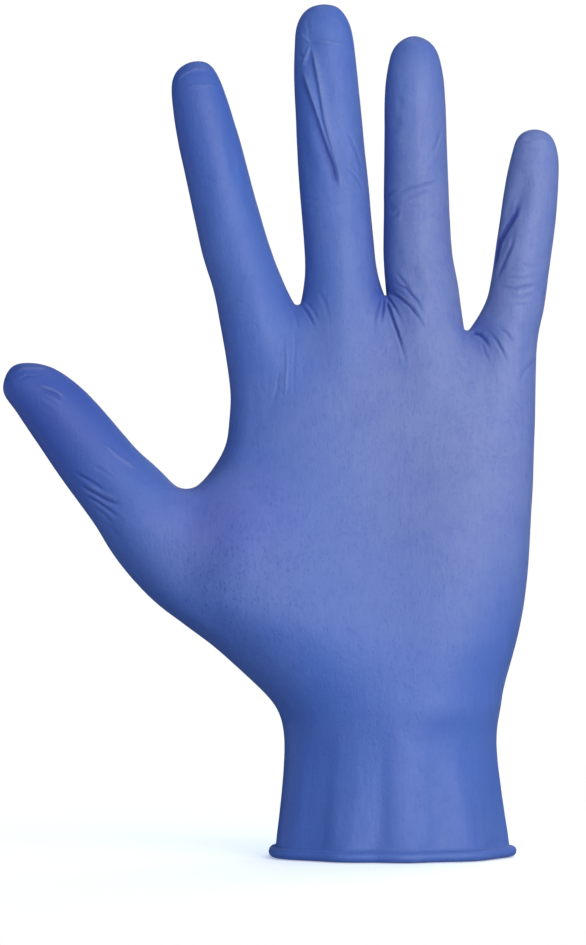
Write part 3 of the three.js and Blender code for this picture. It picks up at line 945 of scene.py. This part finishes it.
@dataclass(frozen=True)
class Nitrile:
    """The satin blue nitrile of the film."""

    blue: Colour = (0.060, 0.128, 0.400)
    # Dark blue for the random speckle, and painted shade in the webs, along the ring finger, over the thumb
    # and at the index fingertip.
    deep_speckle_and_shade: Colour = (0.042, 0.082, 0.335)
    # Paler blue for the random clouds, and a painted sheen on the palm, the outer fingers, the ball of the
    # thumb and the crease lips.
    pale_tone_and_sheen: Colour = (0.147, 0.183, 0.374)
    # Painted sheen on the thumb web.
    violet_sheen: Colour = (0.128, 0.135, 0.41)
    # Painted shade in the crease floors.
    crease_floor_shade: Colour = (0.020, 0.040, 0.26)
    roughness: float = 0.50

    def material(self) -> bpy.types.Material:
        """Draws the finish: painted sheen and shade, soft mottling, fine pores, drawn lines, painted shade
        in the creases with a painted highlight on their lips, and a satin gloss.

        Returns:
            The finished material.
        """
        draw = Dresser("nitrile")
        plain = draw.place((1.0, 1.0, 1.0))
        clouds = draw.window(draw.spots(26.0, 3.0, 0.55, plain), 0.38, 0.66)
        grain = draw.spots(1300.0, 2.0, 0.6, plain)
        hatch = draw.spots(1.0, 2.0, 0.5, draw.place((1000.0, 1000.0, 170.0)))
        mottle = draw.spots(330.0, 4.0, 0.7, plain)
        patches = draw.spots(110.0, 3.0, 0.6, plain)
        pores = draw.window(draw.spots(1.0, 2.0, 0.6, draw.place((1250.0, 1250.0, 820.0))), 0.55, 0.66)
        lines = draw.spots(1.0, 3.0, 0.6, draw.place((260.0, 260.0, 70.0)))

        thumb_root = draw.near((-43.0, -20.0, 73.0), (34.0, 60.0, 34.0))
        speckle = (
            pores * (0.14 + 0.38 * thumb_root)
            + (0.5 + 0.45 * thumb_root) * (hatch - 0.5)
            + 0.7 * (mottle - 0.5)
            + 0.6 * (patches - 0.5)
        )
        tint = draw.blend(draw.window(speckle, -0.25, 1.0), self.paint_sheen_and_shade(draw, clouds), self.deep_speckle_and_shade)
        relief = 0.60 * lines + 0.45 * mottle + 0.12 * grain + 0.20 * hatch - 0.16 * pores
        bump = draw.node(
            "ShaderNodeBump", None, {"Strength": 0.55, "Distance": 0.0004, "Height": relief}, "Normal"
        )
        return draw.finish(
            {
                "Base Color": self.crease_shade_and_highlight(draw, tint),
                "Roughness": self.roughness + 0.10 * (clouds - 0.5) + 0.14 * (grain - 0.5),
                "Normal": bump,
                "IOR": 1.5,
                "Specular IOR Level": 0.72,
                "Sheen Weight": 0.08,
                "Sheen Roughness": 0.4,
            }
        )

    def paint_sheen_and_shade(self, draw: Dresser, clouds: Signal) -> Signal:
        """Paints broad light and shade onto the film: a sheen where light falls on the palm, the outer
        fingers, the ball of the thumb and the thumb web, and shade in the webs, along the ring finger, over
        the thumb and at the index fingertip.

        Args:
            draw: The material that is drawn.
            clouds: Soft clouds that show as paler film.

        Returns:
            The colour.
        """
        # Painted sheen where the light falls on the palm, the outer fingers and the ball of the thumb, over
        # the film's own paler clouds.
        palm = draw.near((22.0, 0.0, 120.0), (76.0, 300.0, 86.0))
        outer_finger_sheen = draw.near((28.0, 0.0, 194.0), (56.0, 300.0, 74.0))
        heel_sheen = draw.near((-46.0, 0.0, 82.0), (34.0, 300.0, 44.0))
        pale = 0.18 * clouds + 0.85 * palm + 0.85 * outer_finger_sheen + 0.32 * heel_sheen
        tint = draw.blend(pale, self.blue, self.pale_tone_and_sheen)
        # Painted sheen on the thumb web.
        thumb_web_sheen = draw.near((-46.0, -10.0, 94.0), (30.0, 40.0, 24.0))
        tint = draw.blend(thumb_web_sheen * 0.55, tint, self.violet_sheen)
        # Painted shade in the webs between the fingers and along the ring finger's left side.
        webs = (
            draw.near((25.0, 0.0, 147.5), (9.0, 300.0, 8.0))
            + draw.near((-1.0, 0.0, 158.0), (8.0, 300.0, 10.0))
            + 0.6 * draw.near((-25.5, 0.0, 155.0), (8.0, 300.0, 9.0))
        )
        ring_side_shade = draw.near((-2.5, 0.0, 190.0), (6.0, 300.0, 52.0))
        tint = draw.blend(0.75 * (webs + 1.2 * ring_side_shade), tint, self.deep_speckle_and_shade)
        # Painted shade over the thumb and at the index fingertip.
        thumb = draw.near((-95.0, 0.0, 125.0), (42.0, 300.0, 44.0))
        index_end_shade = draw.near((-58.0, 0.0, 216.0), (26.0, 300.0, 50.0))
        return draw.blend(thumb + 0.5 * index_end_shade, tint, self.deep_speckle_and_shade)

    def crease_shade_and_highlight(self, draw: Dresser, tint: Signal) -> Signal:
        """Paints shade into the creases and a highlight on their lips.

        Args:
            draw: The material that is drawn.
            tint: The colour of the smooth film.

        Returns:
            The colour.
        """
        fold = draw.node("ShaderNodeAttribute", {"attribute_name": FOLD}, output="Fac")
        # Painted shade in the crease floors.
        tint = draw.blend(0.8 * draw.window(0.0 - fold, 0.04, 0.46), tint, self.crease_floor_shade)
        # Painted highlight on the crease lips.
        return draw.blend(0.36 * draw.window(fold, 0.03, 0.24), tint, self.pale_tone_and_sheen)


@dataclass(frozen=True)
class Floor:
    """The plain pale floor under the mouth.

    Its size and drop are in metres, and the reach of its dark and shining middle is in millimetres.
    """

    size: float = 0.9
    drop: float = 0.0002
    shade: Colour = (0.93, 0.935, 0.94)
    lit: Colour = (0.30, 0.30, 0.303)
    reach: float = 230.0

    def build(self) -> None:
        """Lays the floor just under the bead."""
        deselect_all()
        bpy.ops.mesh.primitive_plane_add(size=self.size, location=(0.0, 0.0, -self.drop))
        floor = bpy.context.active_object
        floor.name = "floor"
        draw = Dresser("floor")
        middle = draw.near((0.0, 0.0, 0.0), (self.reach, self.reach, self.reach))
        floor.data.materials.append(
            draw.finish(
                {
                    "Base Color": draw.blend(middle, (0.0, 0.0, 0.0), self.shade),
                    "Roughness": 0.9,
                    "Specular IOR Level": 0.0,
                    "Emission Color": draw.blend(middle, (1.0, 1.0, 1.0), self.lit),
                    "Emission Strength": 1.0,
                }
            )
        )
        floor.visible_glossy = False
        floor.visible_diffuse = False


@dataclass(frozen=True)
class Softbox:
    """A flat rectangular light."""

    name: str
    place: tuple[float, float, float]
    size: tuple[float, float]
    power: float
    tint: Colour = (1.0, 1.0, 1.0)
    mirrored: bool = True

    def build(self, aim: Vector) -> None:
        """Hangs the light.

        Args:
            aim: The place that it is turned towards.
        """
        light = bpy.data.lights.new(self.name, "AREA")
        light.shape = "RECTANGLE"
        light.size, light.size_y = self.size
        light.energy = self.power
        light.color = self.tint
        lamp = bpy.data.objects.new(self.name, light)
        bpy.context.scene.collection.objects.link(lamp)
        lamp.visible_camera = False
        lamp.visible_glossy = self.mirrored
        lamp.location = self.place
        lamp.rotation_euler = (aim - Vector(self.place)).to_track_quat("-Z", "Y").to_euler()


@dataclass
class Studio:
    """The floor, the lights, the white surround and the camera."""

    middle: tuple[float, float] = (-27.35, 108.1)
    frame_height: float = 266.5
    distance: float = 1.4
    sensor: float = 36.0
    surround: float = 1.0
    ambient: float = 0.60
    shadow_tint: Colour = (0.40, 0.62, 1.0)
    mirrored: float = 0.02
    floor: Floor = field(default_factory=Floor)
    lights: tuple[Softbox, ...] = (
        Softbox("key", (0.30, -0.42, 0.20), (0.42, 0.5), 2.6, (1.0, 0.96, 0.90), mirrored=False),
        Softbox("front", (0.22, -0.80, 0.18), (0.5, 0.6), 1.9, (1.0, 0.95, 0.92)),
        Softbox("fill", (-0.55, -0.85, 0.30), (0.7, 0.9), 0.8, (0.8, 0.9, 1.0)),
        Softbox("rim", (-0.42, 0.16, 0.0), (0.2, 0.3), 0.12, (0.75, 0.7, 1.0)),
        Softbox("top", (0.05, 0.10, 0.85), (0.7, 0.5), 0.8),
        Softbox("back", (0.30, 0.95, 0.55), (0.9, 0.9), 7.5, mirrored=False),
    )

    def build(self) -> None:
        """Sets the whole studio up."""
        self.floor.build()
        aim = Vector((self.middle[0] * MM, 0.0, self.middle[1] * MM))
        for light in self.lights:
            light.build(aim)
        self.white_surround()
        self.camera()
        view = bpy.context.scene.view_settings
        view.view_transform = "Standard"
        view.look = "None"
        view.exposure = 0.0
        view.gamma = 1.0

    def white_surround(self) -> None:
        """Makes the surround white to the eye and dim as a light."""
        world = bpy.data.worlds.new("surround")
        bpy.context.scene.world = world
        world.use_nodes = True
        tree = world.node_tree
        tree.nodes.clear()
        path = tree.nodes.new("ShaderNodeLightPath")
        seen = Signal(tree, path.outputs["Is Camera Ray"])
        soft = Signal(tree, path.outputs["Is Diffuse Ray"])
        level = seen * self.surround + soft * self.ambient + self.mirrored
        sky = tree.nodes.new("ShaderNodeBackground")
        tint = tree.nodes.new("ShaderNodeMix")
        tint.data_type = "RGBA"
        tint.inputs[6].default_value = (*self.shadow_tint, 1.0)
        tint.inputs[7].default_value = (1.0, 1.0, 1.0, 1.0)
        tree.links.new(seen.socket, tint.inputs[0])
        tree.links.new(tint.outputs[2], sky.inputs["Color"])
        output = tree.nodes.new("ShaderNodeOutputWorld")
        tree.links.new(level.socket, sky.inputs["Strength"])
        tree.links.new(sky.outputs[0], output.inputs["Surface"])

    def camera(self) -> None:
        """Places the camera level in front of the palm, with a long lens."""
        data = bpy.data.cameras.new("camera")
        data.sensor_width = self.sensor
        data.lens = self.sensor * self.distance / (self.frame_height * MM)
        data.clip_start = 0.05
        eye = bpy.data.objects.new("camera", data)
        bpy.context.scene.collection.objects.link(eye)
        eye.location = (self.middle[0] * MM, -self.distance, self.middle[1] * MM)
        eye.rotation_euler = (math.pi / 2.0, 0.0, 0.0)
        bpy.context.scene.camera = eye


def main() -> None:
    """Builds the glove, dresses it and lights it."""
    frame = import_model()
    film = Film().build(frame["nodes"]["glove"])
    film.data.materials.append(Nitrile().material())
    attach(film, "root")
    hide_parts("glove")
    LOG.info("film dressed")
    Studio().build()
    LOG.info("studio set")


if __name__ == "__main__":
    main()
